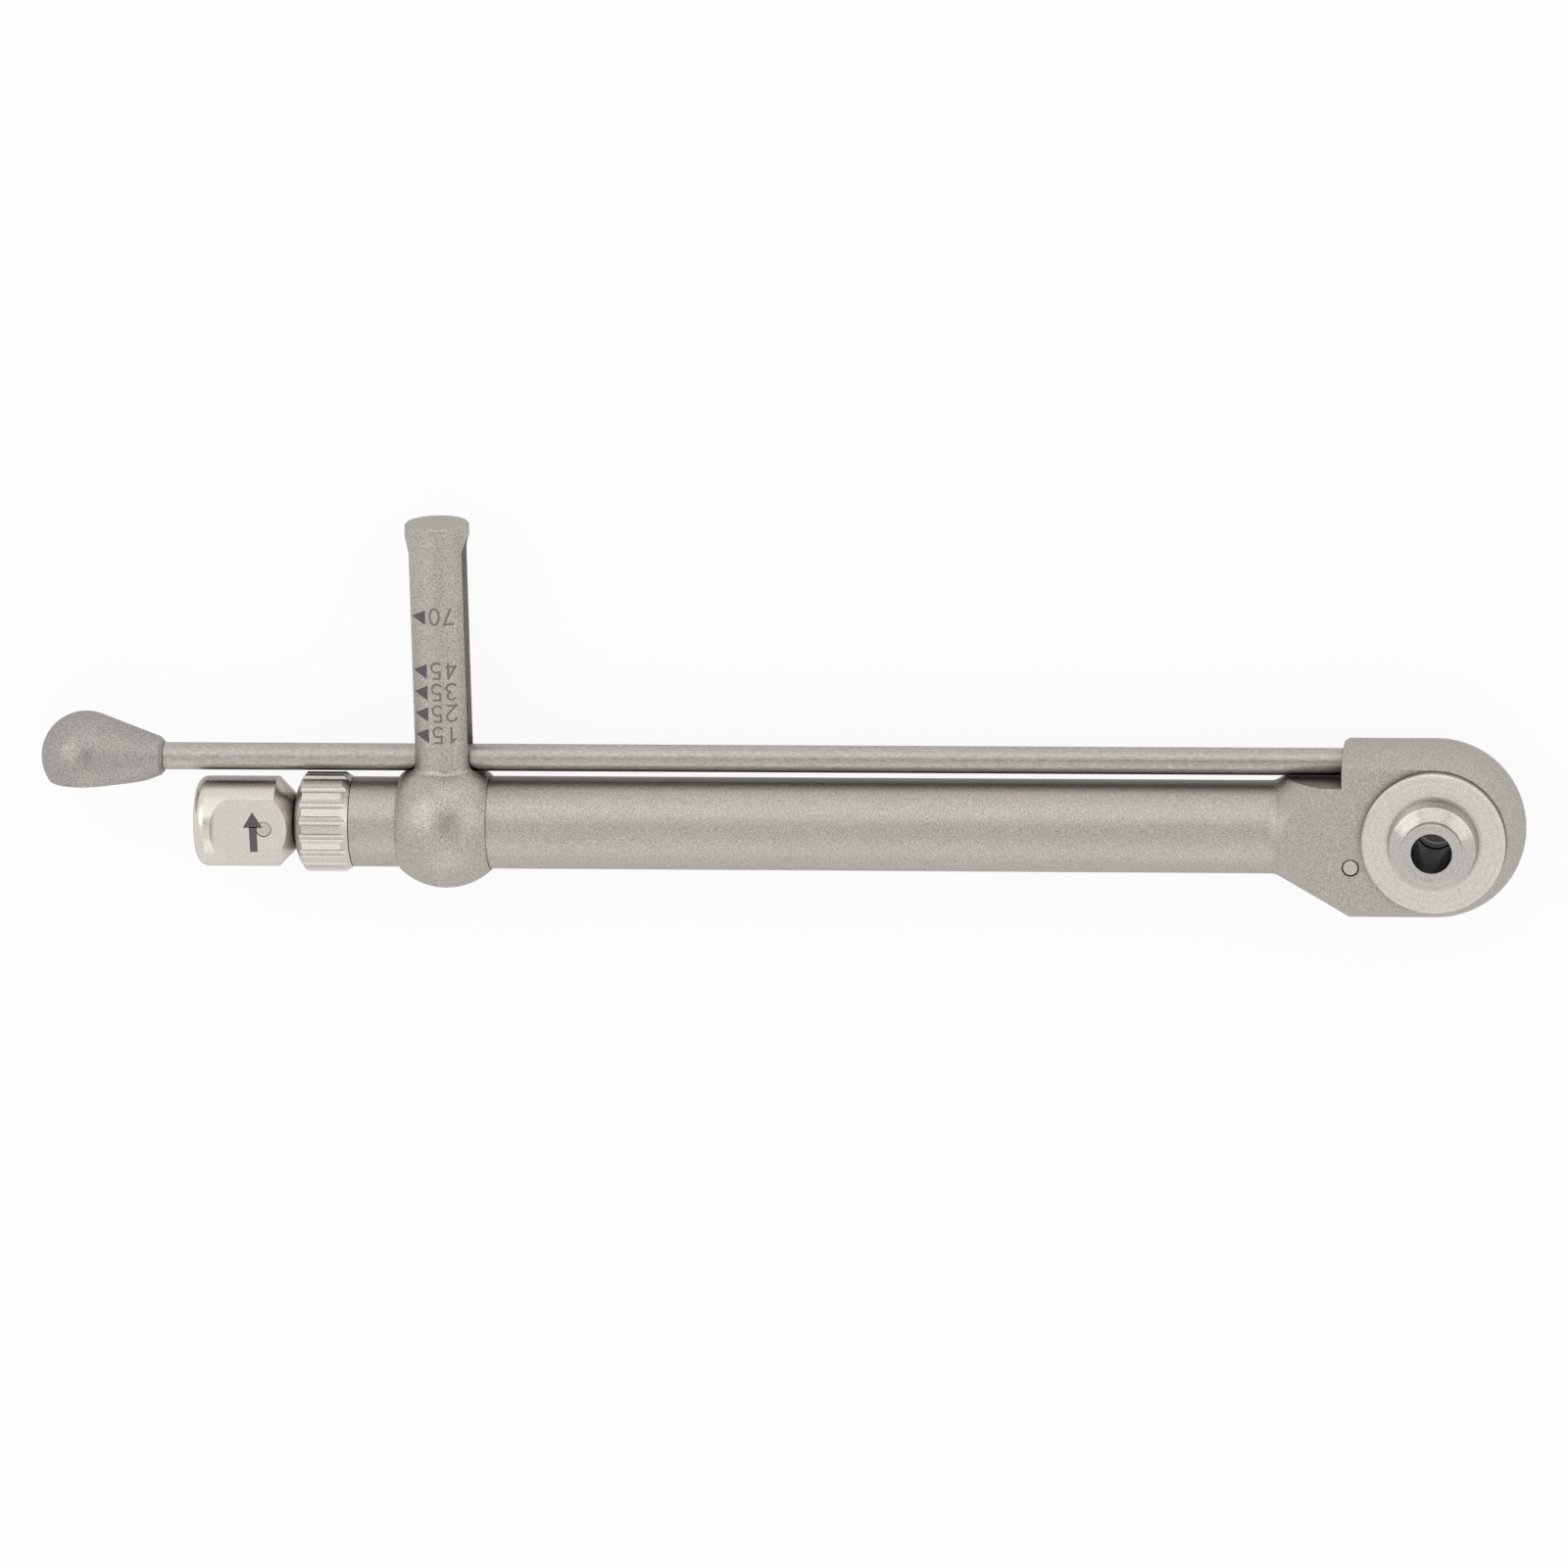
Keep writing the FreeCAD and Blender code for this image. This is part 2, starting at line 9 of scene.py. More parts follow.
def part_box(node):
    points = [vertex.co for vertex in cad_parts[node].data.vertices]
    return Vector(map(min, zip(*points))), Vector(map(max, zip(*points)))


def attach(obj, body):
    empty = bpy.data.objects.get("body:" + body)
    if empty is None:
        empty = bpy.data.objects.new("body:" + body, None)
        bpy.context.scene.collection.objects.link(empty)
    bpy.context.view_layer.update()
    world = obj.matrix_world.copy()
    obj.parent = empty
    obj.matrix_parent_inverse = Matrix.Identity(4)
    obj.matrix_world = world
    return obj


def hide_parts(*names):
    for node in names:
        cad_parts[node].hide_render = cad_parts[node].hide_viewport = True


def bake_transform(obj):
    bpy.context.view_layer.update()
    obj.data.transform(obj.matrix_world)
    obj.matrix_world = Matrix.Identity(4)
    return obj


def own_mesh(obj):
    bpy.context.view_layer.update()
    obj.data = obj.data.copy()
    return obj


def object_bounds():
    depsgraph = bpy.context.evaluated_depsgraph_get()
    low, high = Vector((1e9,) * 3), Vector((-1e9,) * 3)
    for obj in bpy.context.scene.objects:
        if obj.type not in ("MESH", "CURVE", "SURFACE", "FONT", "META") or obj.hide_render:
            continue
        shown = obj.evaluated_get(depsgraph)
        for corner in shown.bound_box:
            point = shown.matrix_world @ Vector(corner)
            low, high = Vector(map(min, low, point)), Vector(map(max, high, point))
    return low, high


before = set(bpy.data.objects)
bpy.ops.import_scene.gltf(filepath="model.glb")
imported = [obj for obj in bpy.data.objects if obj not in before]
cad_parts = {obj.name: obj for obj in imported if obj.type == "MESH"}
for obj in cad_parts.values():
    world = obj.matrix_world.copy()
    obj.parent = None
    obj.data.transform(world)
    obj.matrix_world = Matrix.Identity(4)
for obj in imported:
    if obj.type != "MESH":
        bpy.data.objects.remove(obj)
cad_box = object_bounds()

mm = 0.001

# Camera of the photograph: what it looks at, how far off, and its turn about the three axes
camera_target = Vector((-41.5821, 2.6335, 0.0)) * mm
camera_distance = 693.41 * mm
camera_yaw = 0.1172
camera_pitch = 0.2618
camera_roll = -0.025
frame_width = 100.0 * mm
sensor_width = 36.0
nearest_seen = 0.01
farthest_seen = 20.0

# The bending rod: its sides and rings
rod_sides = 72
rod_rings = 150

# The coil spring: its turns, steps in a turn, wire radius and sides
spring_turns = 8
spring_steps = 40
spring_wire = 0.15 * mm
spring_sides = 12

# Surfaces that carry marks
arm_axis_x = -63.4 * mm
arm_radius = 2.06 * mm
knob_flat_z = 2.12 * mm

# Scale marks on the arm
scale_values = (15, 25, 35, 45, 70)
scale_zero_y = 4.09 * mm
scale_step_y = 0.1413 * mm
triangle_tip = -1.55 * mm
triangle_base = -0.66 * mm
triangle_half = 0.48 * mm
digit_height = 1.03 * mm
digit_width = 0.6 * mm
digit_pitch = 0.92 * mm
digit_first = 0.56 * mm
digit_lift = 0.06 * mm
digit_stroke = 0.07 * mm

# Arrow on each flat of the knob
arrow_x = -75.64 * mm
arrow_tip_y = 1.13 * mm
arrow_head_y = 0.1 * mm
arrow_tail_y = -1.49 * mm
arrow_head_half = 0.64 * mm
arrow_shaft_half = 0.25 * mm
arrow_lean = 0.03 * mm

# Ink: how far it stands out and goes in, its steps along a line and round an arc, and a point's half width
ink_rise = 0.004 * mm
ink_depth = 0.02 * mm
ink_step = 0.07 * mm
arc_step = 12
arc_least_steps = 6
ink_point = 0.01 * mm
ink_grain = 0.06 * mm
ink_speckle = 0.35
ink_roughness = (0.5, 0.7)

# Steel: how bright it is seen edge on, how much a drawn rod's grain is drawn out along it, the part of
# the noise that makes the grain, how far the grain sways the roughness, and the size of the clouding
edge_tint = 0.8
drawn_share = 0.25
grain_range = (0.3, 0.7)
roughness_sway = 0.05
cloud_size = 5 * mm
cloud_detail = 1.0
grain_detail = 2.0
noise_roughness = 0.6

# Turning marks: axis, pitch, depth and contrast, and how unsteady they are. Blender's wave texture has
# a period of 2 pi / 20 at scale 1
bar_marks = ("X", 0.05 * mm, 0.004 * mm, 0)
face_marks = ("Z", 0.42 * mm, 0.004 * mm, 0.04)
mark_distortion = 0.6
mark_detail = 2.0
mark_detail_scale = 0.3
wave_unit = 20

# Painted shade in bores and gaps: how far off a wall darkens them, from which openness to which, and the
# darkest tone
crevice_reach = 1.5 * mm
turned_crevice_reach = 0.45 * mm
crevice_range = (0.08, 0.78)
crevice_shade_tone = 0.1
crevice_samples = 6
bore_edge = 1.3 * mm
bore_fade = 0.02 * mm
bore_shade_tone = 0.05

# Light: how bright the world and the spot at the camera are, and how wide that spot is in degrees
world_fill = 0.9
spot_level = 0.1
spot_inner_angle = 8
spot_outer_angle = 22

# Soft boxes: name, share to the right and upwards, degrees off the camera's axis, and brightness
soft_box_size = 0.44
soft_box_distance = 0.6
soft_boxes = (
    ("soft_box_left", -1, 0.3, 42, 0.75),
    ("soft_box_right", 1, 0.3, 42, 0.45),
    ("soft_box_top", 0, 1, 44, 0.38),
    ("soft_box_low", 0, -1, 70, 0.35),
)

# Paper: half its side, its tone, tint and grain, how white it is to the camera and in the steel, and how
# much of that is left in the painted shadow under the head's hub
floor_half = 3.0
floor_tone = 0.9
floor_speckle = 0.005
floor_grain = 0.8 * mm
floor_roughness = 0.9
floor_glow = 0.9
floor_shine = 0.6
hub_edge = 2.4 * mm
glow_in_painted_hub_shadow = 0.5


def link(obj):
    """Puts a new object in the scene."""
    bpy.context.scene.collection.objects.link(obj)
    return obj


def mesh_object(name, points, faces, smooth=True):
    """A new mesh object from points and faces. Only faces with four corners are smooth."""
    mesh = bpy.data.meshes.new(name)
    mesh.from_pydata(points, [], faces)
    mesh.validate()
    for polygon in mesh.polygons:
        polygon.use_smooth = smooth and len(polygon.vertices) == 4
    mesh.update()
    return link(bpy.data.objects.new(name, mesh))


def tube_mesh(name, rings, sides):
    """A closed tube through rings. A ring is its centre and two half axes."""
    points = []
    for centre, across, along in rings:
        for k in range(sides):
            turn = 2 * math.pi * k / sides
            points.append(centre + across * math.cos(turn) + along * math.sin(turn))
    faces = []
    for ring in range(len(rings) - 1):
        for k in range(sides):
            a = ring * sides + k
            b = ring * sides + (k + 1) % sides
            faces.append((a, b, b + sides, a + sides))
    faces.append(tuple(reversed(range(sides))))
    faces.append(tuple(range((len(rings) - 1) * sides, len(rings) * sides)))
    return mesh_object(name, points, faces)


def place_camera():
    """The camera of the photograph. Gives its axes to the right, upwards and back."""
    back = Vector((
        math.sin(camera_yaw) * math.cos(camera_pitch),
        math.sin(camera_pitch),
        math.cos(camera_yaw) * math.cos(camera_pitch),
    ))
    right = Vector((0, 1, 0)).cross(back).normalized()
    up = back.cross(right)
    turned_right = right * math.cos(camera_roll) + up * math.sin(camera_roll)
    turned_up = up * math.cos(camera_roll) - right * math.sin(camera_roll)
    data = bpy.data.cameras.new("camera")
    data.sensor_width = sensor_width
    data.lens = sensor_width * camera_distance / frame_width
    data.clip_start = nearest_seen
    data.clip_end = farthest_seen
    camera = link(bpy.data.objects.new("camera", data))
    axes = Matrix((turned_right, turned_up, back)).transposed().to_4x4()
    axes.translation = camera_target + back * camera_distance
    camera.matrix_world = axes
    bpy.context.scene.camera = camera
    return turned_right, turned_up, back


def new_material(name):
    """A material with its node tree and shader."""
    material = bpy.data.materials.new(name)
    material.use_nodes = True
    tree = material.node_tree
    return material, tree, tree.nodes["Principled BSDF"]


def add(tree, kind, **values):
    """A node with its input values. A name with an underscore before it is a property of the node."""
    node = tree.nodes.new(kind)
    for key, value in values.items():
        if key.startswith("_"):
            setattr(node, key[1:], value)
        else:
            node.inputs[key.replace("_", " ")].default_value = value
    return node


def computed(tree, operation, *values):
    """A sum on numbers and other nodes' outputs."""
    node = add(tree, "ShaderNodeMath", _operation=operation)
    for slot, value in zip(node.inputs, values):
        if isinstance(value, (int, float)):
            slot.default_value = value
        else:
            tree.links.new(value, slot)
    return node.outputs[0]


def drawn_out(tree, value, low, high):
    """A number between low and high drawn out to between 0 and 1."""
    node = add(tree, "ShaderNodeMapRange", From_Min=low, From_Max=high)
    tree.links.new(value, node.inputs["Value"])
    return node.outputs["Result"]


def span(tree, value, low, high):
    """A number from 0 to 1 turned into one from low to high."""
    node = add(tree, "ShaderNodeMapRange", To_Min=low, To_Max=high)
    tree.links.new(value, node.inputs["Value"])
    return node.outputs["Result"]


def scaled(tree, where, factors):
    """The coordinates times a factor for each axis."""
    node = add(tree, "ShaderNodeVectorMath", _operation="MULTIPLY")
    node.inputs[1].default_value = factors
    tree.links.new(where, node.inputs[0])
    return node.outputs["Vector"]


def noise(tree, where, size, detail=grain_detail):
    """Soft noise whose grains are about the given size across."""
    node = add(tree, "ShaderNodeTexNoise", Scale=1 / size, Detail=detail, Roughness=noise_roughness)
    tree.links.new(where, node.inputs["Vector"])
    return node.outputs["Fac"]


def tinted(tree, value, colour, amount):
    """The colour, darker and lighter by the amount as the value goes from 0 to 1."""
    node = add(tree, "ShaderNodeMix", _data_type="RGBA")
    node.inputs["A"].default_value = (*[c * (1 - amount) for c in colour], 1)
    node.inputs["B"].default_value = (*[min(c * (1 + amount), 1) for c in colour], 1)
    tree.links.new(value, node.inputs["Factor"])
    return node.outputs["Result"]


def shaded(tree, colour, tone):
    """The colour times a grey tone."""
    node = add(tree, "ShaderNodeMix", _data_type="RGBA", _blend_type="MULTIPLY")
    node.inputs["Factor"].default_value = 1
    tree.links.new(colour, node.inputs["A"])
    tree.links.new(tone, node.inputs["B"])
    return node.outputs["Result"]


def bumpy(tree, height, depth, under=None):
    """The normal of a surface with a relief, on top of the relief under it."""
    node = add(tree, "ShaderNodeBump", Strength=1.0, Distance=depth)
    tree.links.new(height, node.inputs["Height"])
    if under is not None:
        tree.links.new(under, node.inputs["Normal"])
    return node.outputs["Normal"]


def darker_in_crevices(tree, colour, reach):
    """The colour, turned down in gaps and corners: painted shade where less light reaches."""
    occlusion = add(tree, "ShaderNodeAmbientOcclusion", _samples=crevice_samples, Distance=reach)
    openness = drawn_out(tree, occlusion.outputs["AO"], *crevice_range)
    return shaded(tree, colour, span(tree, openness, crevice_shade_tone, 1))


def clear_of_drive(tree, where, radius):
    """0 inside a radius of the drive axis and 1 outside it."""
    distance = add(tree, "ShaderNodeVectorMath", _operation="LENGTH")
    tree.links.new(scaled(tree, where, (1, 1, 0)), distance.inputs[0])
    return drawn_out(tree, distance.outputs["Value"], radius - bore_fade, radius)


def darker_in_bore(tree, where, colour, radius):
    """The colour, turned down inside a radius of the drive axis: painted shade in the bore."""
    return shaded(tree, colour, span(tree, clear_of_drive(tree, where, radius), bore_shade_tone, 1))


def turning_marks(tree, where, axis, pitch):
    """Fine lines that a lathe leaves: bands along X, or rings about Z on a face."""
    wave = add(tree, "ShaderNodeTexWave", Scale=2 * math.pi / (wave_unit * pitch),
               Distortion=mark_distortion, Detail=mark_detail, Detail_Scale=mark_detail_scale)
    if axis == "Z":
        wave.wave_type = "RINGS"
        wave.rings_direction = "Z"
    else:
        wave.wave_type = "BANDS"
        wave.bands_direction = "X"
    tree.links.new(where, wave.inputs["Vector"])
    return wave.outputs["Fac"]


def steel(name, colour, roughness, grain, relief,
          speckle=0.2, cloud=0.03, lathe=None, bore=None, drawn=False, reach=crevice_reach):
    """Steel with a fine grain, faint clouding and painted shade in its crevices.

    With lathe it has turning marks: their axis, pitch, depth and contrast. With bore it has painted
    shade, nearly black, inside that radius of the drive axis. With drawn its grain is drawn out along X.
    """
    material, tree, shader = new_material(name)
    where = add(tree, "ShaderNodeTexCoord").outputs["Object"]
    fine = noise(tree, scaled(tree, where, (drawn_share, 1, 1)) if drawn else where, grain)
    broad = noise(tree, where, cloud_size, cloud_detail)
    grained = tinted(tree, drawn_out(tree, fine, *grain_range), colour, speckle)
    clouded = shaded(tree, grained, tinted(tree, broad, (1 - cloud,) * 3, cloud))
    # painted shade: the colour is darkened near walls, in gaps and corners
    grain_and_painted_shade = darker_in_crevices(tree, clouded, reach)
    # painted shade: the colour is turned nearly black inside the bore
    if bore:
        grain_and_painted_shade = darker_in_bore(tree, where, grain_and_painted_shade, bore)
    normal = bumpy(tree, fine, relief)
    if lathe:
        axis, pitch, depth, contrast = lathe
        rings = turning_marks(tree, where, axis, pitch)
        grain_and_painted_shade = shaded(tree, grain_and_painted_shade, tinted(tree, rings, (1, 1, 1), contrast))
        normal = bumpy(tree, rings, depth, under=normal)
    gloss = span(tree, fine, roughness - roughness_sway, roughness + roughness_sway)
    tree.links.new(grain_and_painted_shade, shader.inputs["Base Color"])
    tree.links.new(gloss, shader.inputs["Roughness"])
    tree.links.new(normal, shader.inputs["Normal"])
    shader.inputs["Metallic"].default_value = 1.0
    shader.inputs["Specular Tint"].default_value = (edge_tint, edge_tint, edge_tint, 1)
    return material


def ink_material(name, colour):
    """Laser marking, slightly uneven."""
    material, tree, shader = new_material(name)
    where = add(tree, "ShaderNodeTexCoord").outputs["Object"]
    fine = noise(tree, where, ink_grain)
    tree.links.new(tinted(tree, fine, colour, ink_speckle), shader.inputs["Base Color"])
    tree.links.new(span(tree, fine, *ink_roughness), shader.inputs["Roughness"])
    return material


def floor_material():
    """Plain white paper. Seen straight on it is a little lighter, so that the ground stays white.

    It has a painted shadow under the head's hub, which stands on it and mirrors it in the bore.
    """
    material, tree, shader = new_material("pale_floor")
    where = add(tree, "ShaderNodeTexCoord").outputs["Object"]
    paper = tinted(tree, noise(tree, where, floor_grain), (floor_tone,) * 3, floor_speckle)
    tree.links.new(paper, shader.inputs["Base Color"])
    shader.inputs["Roughness"].default_value = floor_roughness
    path = add(tree, "ShaderNodeLightPath")
    mirrored = computed(tree, "MULTIPLY", path.outputs["Is Glossy Ray"], floor_shine)
    share = computed(tree, "MULTIPLY_ADD", path.outputs["Is Camera Ray"], floor_glow, mirrored)
    # painted shadow: the floor's glow is cut down inside hub_edge
    outside_painted_hub_shadow = span(tree, clear_of_drive(tree, where, hub_edge), glow_in_painted_hub_shadow, 1)
    glow = add(tree, "ShaderNodeEmission", Strength=1.0)
    mix = add(tree, "ShaderNodeMixShader")
    tree.links.new(computed(tree, "MULTIPLY", share, outside_painted_hub_shadow), mix.inputs[0])
    tree.links.new(shader.outputs[0], mix.inputs[1])
    tree.links.new(glow.outputs[0], mix.inputs[2])
    tree.links.new(mix.outputs[0], tree.nodes["Material Output"].inputs["Surface"])
    return material


def dress(node_names, material):
    """Gives one material to CAD nodes."""
    for name in node_names:
        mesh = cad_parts[name].data
        mesh.materials.clear()
        mesh.materials.append(material)


def finish_piece(obj, material):
    """Material of a new piece."""
    obj.data.materials.clear()
    obj.data.materials.append(material)


def bending_rod(material):
    """The spring rod as a tube of many rings, in place of the CAD rod."""
    low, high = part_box("torque_rod")
    centre_y = (low.y + high.y) / 2
    radius = (high.y - low.y) / 2
    rings = []
    for k in range(rod_rings + 1):
        x = high.x + (low.x - high.x) * k / rod_rings
        rings.append((Vector((x, centre_y, 0)), Vector((0, 0, radius)), Vector((0, radius, 0))))
    rod = tube_mesh("bending_rod", rings, rod_sides)
    finish_piece(rod, material)
    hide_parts("torque_rod")
    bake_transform(rod)


def coil_spring(material):
    """The return spring in round wire, in place of the CAD spring, carried with the nut carrier."""
    low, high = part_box("return_spring")
    mean = high.z - spring_wire
    stations = spring_turns * spring_steps
    left, right = low.x + spring_wire, high.x - spring_wire
    lead = (right - left) / spring_turns
    rings = []
    for k in range(stations + 1):
        turn = 2 * math.pi * spring_turns * k / stations
        outward = Vector((0, math.cos(turn), math.sin(turn)))
        ahead = Vector((lead / (2 * math.pi), -mean * math.sin(turn), mean * math.cos(turn))).normalized()
        side = outward.cross(ahead)
        centre = Vector((left + (right - left) * k / stations, 0, 0)) + outward * mean
        rings.append((centre, outward * spring_wire, side * spring_wire))
    spring = tube_mesh("coil_spring", rings, spring_sides)
    finish_piece(spring, material)
    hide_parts("return_spring")
    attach(spring, "nut_carrier")
    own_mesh(spring)


def on_arm(u, v, rise):
    """A point on the round front of the scale arm: u is across as seen from the front, v is its height."""
    turn = math.asin(u / arm_radius)
    out = arm_radius + rise
    return Vector((arm_axis_x + out * math.sin(turn), v, out * math.cos(turn)))


def on_front_flat(u, v, rise):
    """A point on the knob's front flat."""
    return Vector((u, v, knob_flat_z + rise))


def on_back_flat(u, v, rise):
    """A point on the knob's back flat. Its arrow points the other way once the knob is turned over."""
    return Vector((u, v, -knob_flat_z - rise))


def recalculate(obj):
    """Turns all faces of a closed mesh outwards."""
    shape = bmesh.new()
    shape.from_mesh(obj.data)
    bmesh.ops.recalc_face_normals(shape, faces=shape.faces)
    shape.to_mesh(obj.data)
    shape.free()


def marking(name, strokes, place):
    """Thin closed strips on a surface. A stroke is a list of (u, v, half width)."""
    points, faces = [], []
    for stroke in strokes:
        first = len(points)
        for k, (u, v, half) in enumerate(stroke):
            before = stroke[max(k - 1, 0)]
            after = stroke[min(k + 1, len(stroke) - 1)]
            ahead = Vector((after[0] - before[0], after[1] - before[1])).normalized()
            for sign, rise in ((1, ink_rise), (-1, ink_rise), (-1, -ink_depth), (1, -ink_depth)):
                points.append(place(u - sign * half * ahead.y, v + sign * half * ahead.x, rise))
        for k in range(len(stroke) - 1):
            a = first + 4 * k
            for side in range(4):
                b = a + (side + 1) % 4
                faces.append((a + side, b, b + 4, a + side + 4))
        last = len(points) - 4
        faces.append(tuple(first + s for s in (3, 2, 1, 0)))
        faces.append(tuple(last + s for s in (0, 1, 2, 3)))
    obj = mesh_object(name, points, faces, smooth=False)
    recalculate(obj)
    return obj


def line(start, end, half, end_half=None):
    """A straight stroke in short steps, as wide at its end as end_half says."""
    end_half = half if end_half is None else end_half
    steps = max(1, math.ceil(math.dist(start, end) / ink_step))
    stroke = []
    for k in range(steps + 1):
        t = k / steps
        u = start[0] + (end[0] - start[0]) * t
        v = start[1] + (end[1] - start[1]) * t
        stroke.append((u, v, half + (end_half - half) * t))
    return stroke


def arc(centre, radii, start, end, half):
    """A stroke along part of an ellipse, between two angles in degrees."""
    steps = max(arc_least_steps, math.ceil(abs(end - start) / arc_step))
    stroke = []
    for k in range(steps + 1):
        angle = math.radians(start + (end - start) * k / steps)
        u = centre[0] + radii[0] * math.cos(angle)
        v = centre[1] + radii[1] * math.sin(angle)
        stroke.append((u, v, half))
    return stroke


def digit_strokes(digit, w, h, half):
    """A digit as strokes in a cell w wide and h high, from its lower left corner.

    The numbers here are the digit's own proportions: shares of the cell, and angles of its bowls.
    """
    if digit == "0":
        return [arc((w / 2, h / 2), (w / 2, h / 2), 0, 360, half)]
    if digit == "1":
        upright = line((w * 0.62, 0), (w * 0.62, h + half), half)
        return [upright, line((w * 0.62, h), (w * 0.2, h * 0.74), half)]
    if digit == "2":
        bowl = arc((w / 2, h * 0.70), (w / 2, h * 0.30), 165, -35, half)
        return [bowl, line(bowl[-1][:2], (0, 0), half), line((-half, 0), (w, 0), half)]
    if digit == "3":
        upper = arc((w * 0.47, h * 0.755), (w * 0.42, h * 0.245), 155, -90, half)
        lower = arc((w * 0.47, h * 0.255), (w * 0.50, h * 0.255), 90, -155, half)
        return [upper, lower]
    if digit == "4":
        upright = line((w * 0.74, 0), (w * 0.74, h + half), half)
        bar = line((-half, h * 0.28), (w, h * 0.28), half)
        return [upright, line((w * 0.74, h), (0, h * 0.28), half), bar]
    if digit == "5":
        bowl = arc((w * 0.46, h * 0.31), (w * 0.52, h * 0.31), 135, -150, half)
        top = line((w * 0.14 - half, h), (w * 0.94, h), half)
        return [top, line((w * 0.14, h), bowl[0][:2], half), bowl]
    if digit == "7":
        return [line((0, h), (w + half, h), half), line((w, h), (w * 0.32, 0), half)]
    raise ValueError(f"no strokes for {digit}")


def turned_digit(digit, right_u, middle_v):
    """A digit that stands on its head, with its own left side at the given place on the right."""
    strokes = []
    for stroke in digit_strokes(digit, digit_width, digit_height, digit_stroke):
        strokes.append([(right_u - u, middle_v + digit_height / 2 - v, half) for u, v, half in stroke])
    return strokes


def scale_marks(dark, pale):
    """The triangles and, marked more faintly, the figures. They are read with the wrench turned about."""
    triangles, figures = [], []
    for value in scale_values:
        v = scale_zero_y + scale_step_y * value
        triangles.append(line((triangle_tip, v), (triangle_base, v), ink_point, triangle_half))
        for place, digit in enumerate(str(value)):
            right_u = digit_first + digit_width - place * digit_pitch
            figures += turned_digit(digit, right_u, v + digit_lift)
    for name, strokes, material in (("scale_triangles", triangles, dark), ("scale_figures", figures, pale)):
        marks = marking(name, strokes, on_arm)
        finish_piece(marks, material)
        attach(marks, "handle")


def arrow_strokes():
    """An arrow that points along +Y, with a slight lean."""
    head = line((arrow_x, arrow_tip_y), (arrow_x, arrow_head_y), ink_point, arrow_head_half)
    shaft_top = (arrow_x, arrow_head_y + ink_step)
    return [head, line(shaft_top, (arrow_x + arrow_lean, arrow_tail_y), arrow_shaft_half)]


def knob_arrows(material):
    """The arrow on each flat, which tells the way the ratchet drives."""
    for name, place in (("arrow_front", on_front_flat), ("arrow_back", on_back_flat)):
        arrow = marking(name, arrow_strokes(), place)
        finish_piece(arrow, material)
        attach(arrow, "selector")


def soft_box(name, direction, radiance):
    """A large square lamp that looks at the wrench from a direction."""
    data = bpy.data.lights.new(name, "AREA")
    data.shape = "SQUARE"
    data.size = soft_box_size
    data.energy = radiance * math.pi * soft_box_size**2
    lamp = link(bpy.data.objects.new(name, data))
    turn = direction.to_track_quat("Z", "Y").to_matrix().to_4x4()
    lamp.matrix_world = Matrix.Translation(camera_target + direction * soft_box_distance) @ turn
    lamp.visible_camera = False


def studio_world(back):
    """White behind everything, and a softer light on the wrench with a darker spot at the photographer."""
    world = bpy.data.worlds.new("studio")
    bpy.context.scene.world = world
    world.use_nodes = True
    tree = world.node_tree
    tree.nodes.clear()
    towards = add(tree, "ShaderNodeVectorMath", _operation="DOT_PRODUCT")
    towards.inputs[1].default_value = back
    tree.links.new(add(tree, "ShaderNodeTexCoord").outputs["Generated"], towards.inputs[0])
    spot = add(tree, "ShaderNodeMapRange", _interpolation_type="SMOOTHSTEP",
               From_Min=math.cos(math.radians(spot_outer_angle)),
               From_Max=math.cos(math.radians(spot_inner_angle)),
               To_Min=world_fill, To_Max=spot_level)
    tree.links.new(towards.outputs["Value"], spot.inputs["Value"])
    path = add(tree, "ShaderNodeLightPath")
    seen = computed(tree, "MAXIMUM", path.outputs["Is Camera Ray"], path.outputs["Is Transmission Ray"])
    dim = add(tree, "ShaderNodeBackground", Color=(1, 1, 1, 1))
    white = add(tree, "ShaderNodeBackground", Color=(1, 1, 1, 1), Strength=1.0)
    tree.links.new(spot.outputs["Result"], dim.inputs["Strength"])
    mix = add(tree, "ShaderNodeMixShader")
    tree.links.new(seen, mix.inputs[0])
    tree.links.new(dim.outputs[0], mix.inputs[1])
    tree.links.new(white.outputs[0], mix.inputs[2])
    output = add(tree, "ShaderNodeOutputWorld")
    tree.links.new(mix.outputs[0], output.inputs["Surface"])


def studio(right, up, back):
    """Floor, world and soft boxes."""
    floor_z = cad_box[0].z
    sides = ((-1, -1), (1, -1), (1, 1), (-1, 1))
    corners = [Vector((x * floor_half, y * floor_half, floor_z)) for x, y in sides]
    floor = mesh_object("floor", corners, [(0, 1, 2, 3)], smooth=False)
    floor.data.materials.append(floor_material())
    for name, side, height, angle, radiance in soft_boxes:
        off_axis = math.radians(angle)
        across = (right * side + up * height).normalized()
        soft_box(name, back * math.cos(off_axis) + across * math.sin(off_axis), radiance)
    studio_world(back)


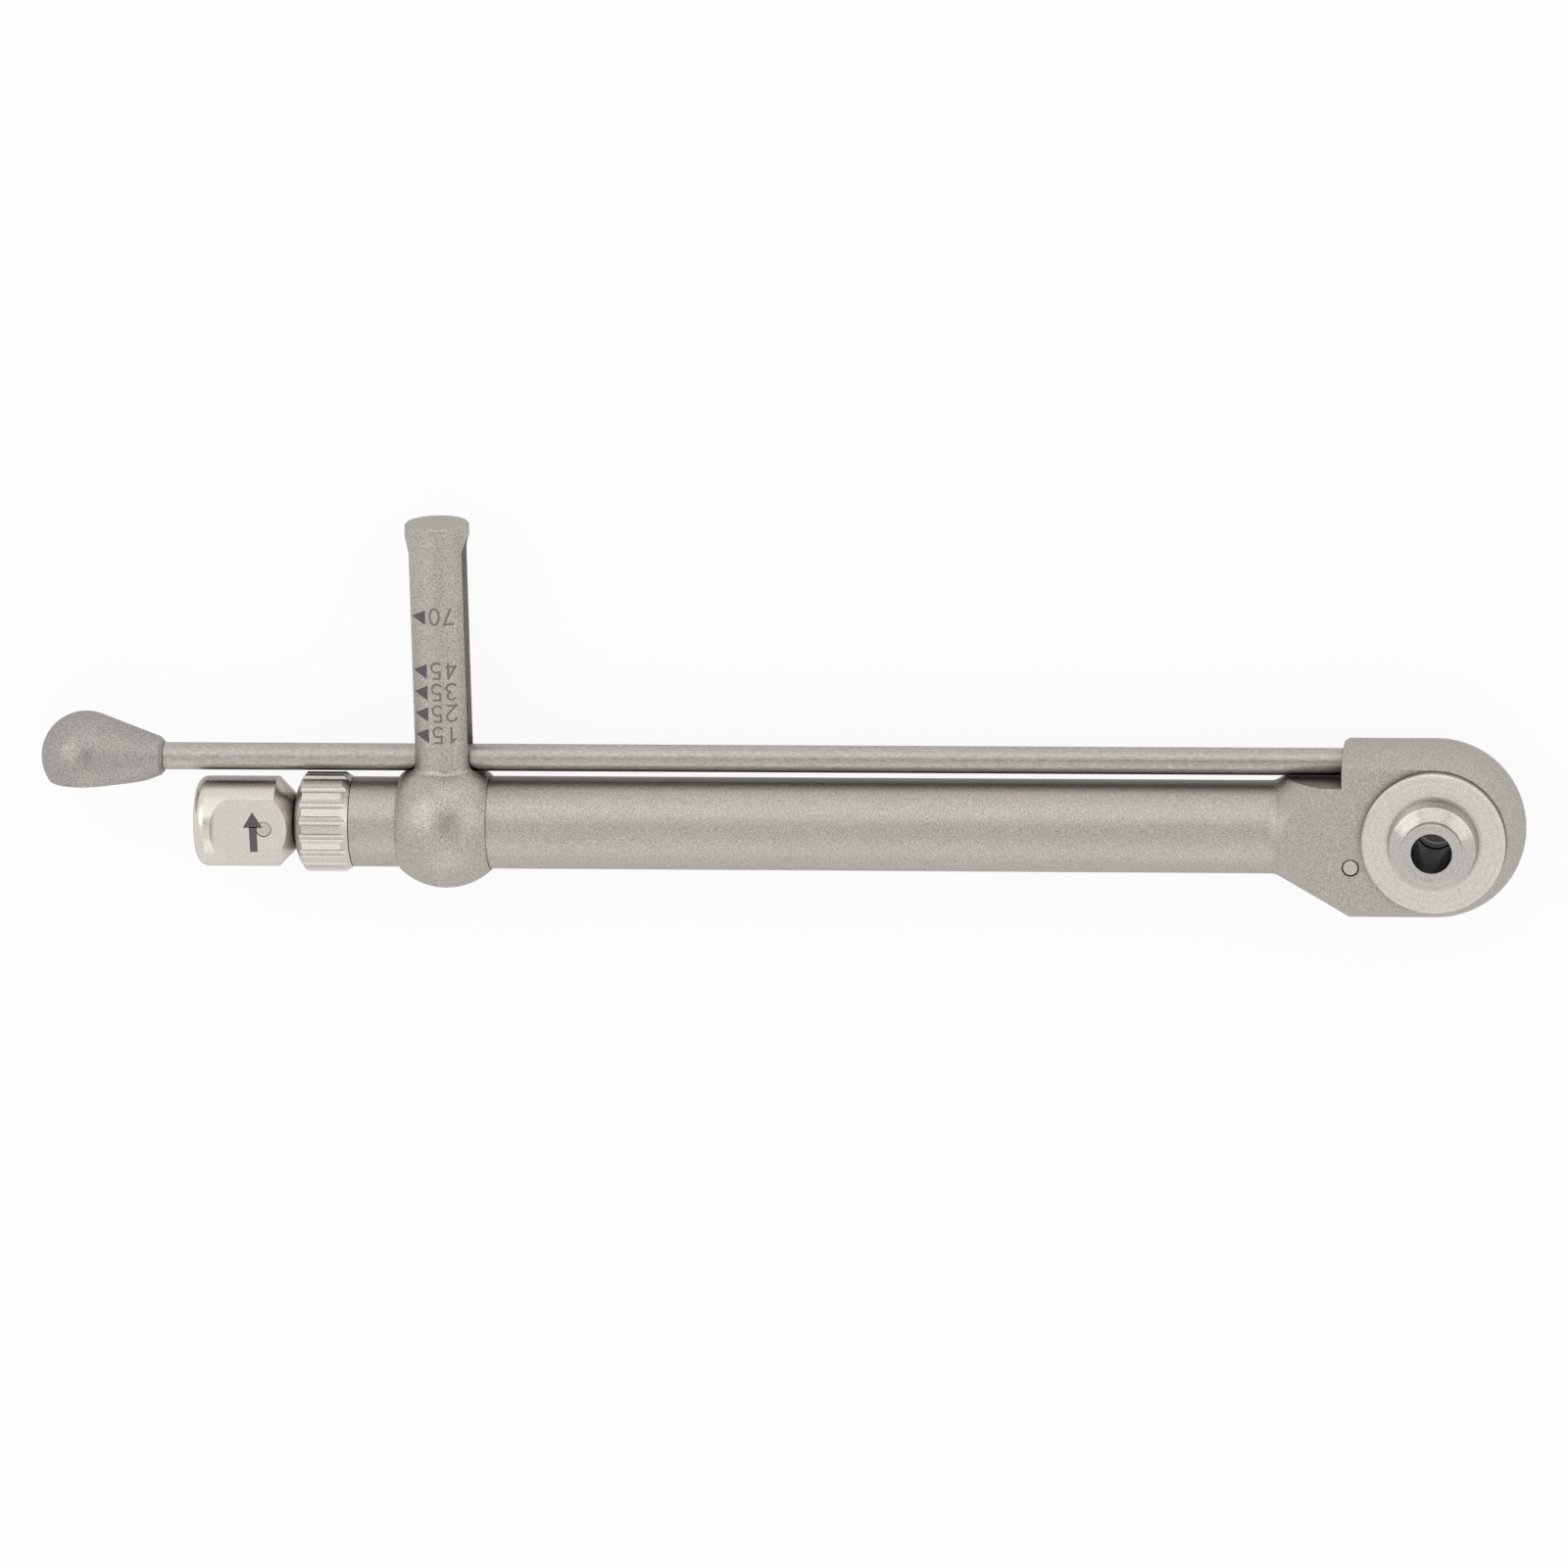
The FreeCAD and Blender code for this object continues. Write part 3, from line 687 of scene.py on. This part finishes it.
# Each steel: colour, roughness, grain size and depth of its relief
blasted = steel("blasted_steel", (0.488, 0.462, 0.413), 0.42, 0.085 * mm, 0.003 * mm, speckle=0.48)
turned = steel("turned_steel", (0.492, 0.465, 0.416), 0.40, 0.085 * mm, 0.002 * mm,
               speckle=0.36, lathe=bar_marks)
drop_steel = steel("drop_steel", (0.42, 0.394, 0.368), 0.45, 0.085 * mm, 0.003 * mm, speckle=0.46)
drawn = steel("drawn_steel", (0.485, 0.461, 0.423), 0.38, 0.08 * mm, 0.001 * mm,
              speckle=0.24, drawn=True)
satin = steel("satin_steel", (0.722, 0.686, 0.624), 0.28, 0.07 * mm, 0.0007 * mm,
              speckle=0.16, cloud=0.015)
nut_steel = steel("nut_steel", (0.645, 0.619, 0.578), 0.26, 0.07 * mm, 0.0007 * mm,
                  speckle=0.16, cloud=0.015)
faced = steel("faced_steel", (0.73, 0.704, 0.66), 0.30, 0.07 * mm, 0.0009 * mm,
              speckle=0.26, lathe=face_marks, reach=turned_crevice_reach)
collar_steel = steel("collar_steel", (0.57, 0.549, 0.514), 0.22, 0.07 * mm, 0.0009 * mm,
                     speckle=0.26, lathe=face_marks, bore=bore_edge, reach=turned_crevice_reach)
pin = steel("pin_steel", (0.60, 0.57, 0.52), 0.32, 0.06 * mm, 0.001 * mm)
wire = steel("spring_steel", (0.5, 0.5, 0.5), 0.25, 0.1 * mm, 0.0008 * mm)
ink = ink_material("black_marking", (0.092, 0.081, 0.088))
faint_ink = ink_material("grey_marking", (0.19, 0.158, 0.14))

dress(["wrench_body"], turned)
dress(["scale_sleeve"], blasted)
dress(["finger_drop"], drop_steel)
dress(["arrow_knob", "spring_seat", "pawl_bolt"], satin)
dress(["knurled_nut"], nut_steel)
dress(["finger_disc", "ratchet_wheel"], faced)
dress(["drive_spindle"], collar_steel)
dress(["guide_pin", "knob_pin"], pin)
dress(["wheel_circlip", "insert_clip", "shank_clip", "spring_washer"], wire)

axes = place_camera()
bending_rod(drawn)
coil_spring(wire)
scale_marks(ink, faint_ink)
knob_arrows(ink)
studio(*axes)

bpy.context.scene.view_settings.view_transform = "Standard"
